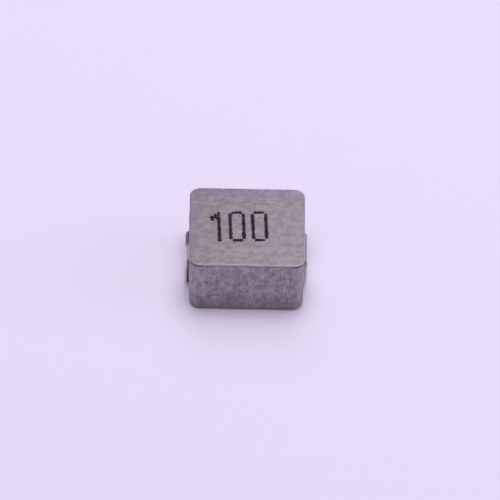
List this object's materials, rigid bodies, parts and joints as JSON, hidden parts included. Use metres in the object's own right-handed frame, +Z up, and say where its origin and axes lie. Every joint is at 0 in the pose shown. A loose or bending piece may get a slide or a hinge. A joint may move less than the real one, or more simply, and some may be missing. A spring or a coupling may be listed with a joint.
{
  "type": "shielded smd inductor",
  "caption": "Moulded surface-mount power inductor: a pressed powder block round a flat-wire winding, with folded tinned terminals.",
  "frame": {"origin": "middle of the footprint, on the board that the feet stand on", "axes": "+X from the left terminal to the right terminal, +Z up out of the board, +Y away from the side that the marking reads from"},
  "size_m": [0.0044, 0.0042, 0.0022],
  "materials": {
    "pressed_powder": "matt grey pressed metal powder, finely pitted",
    "enamelled_copper": "copper under clear enamel",
    "tinned_copper": "matt tin plate"
  },
  "bodies": {
    "root": {"moulded_body": "pressed_powder", "winding": "enamelled_copper", "left_terminal": "tinned_copper", "right_terminal": "tinned_copper"}
  },
  "joints": []
}
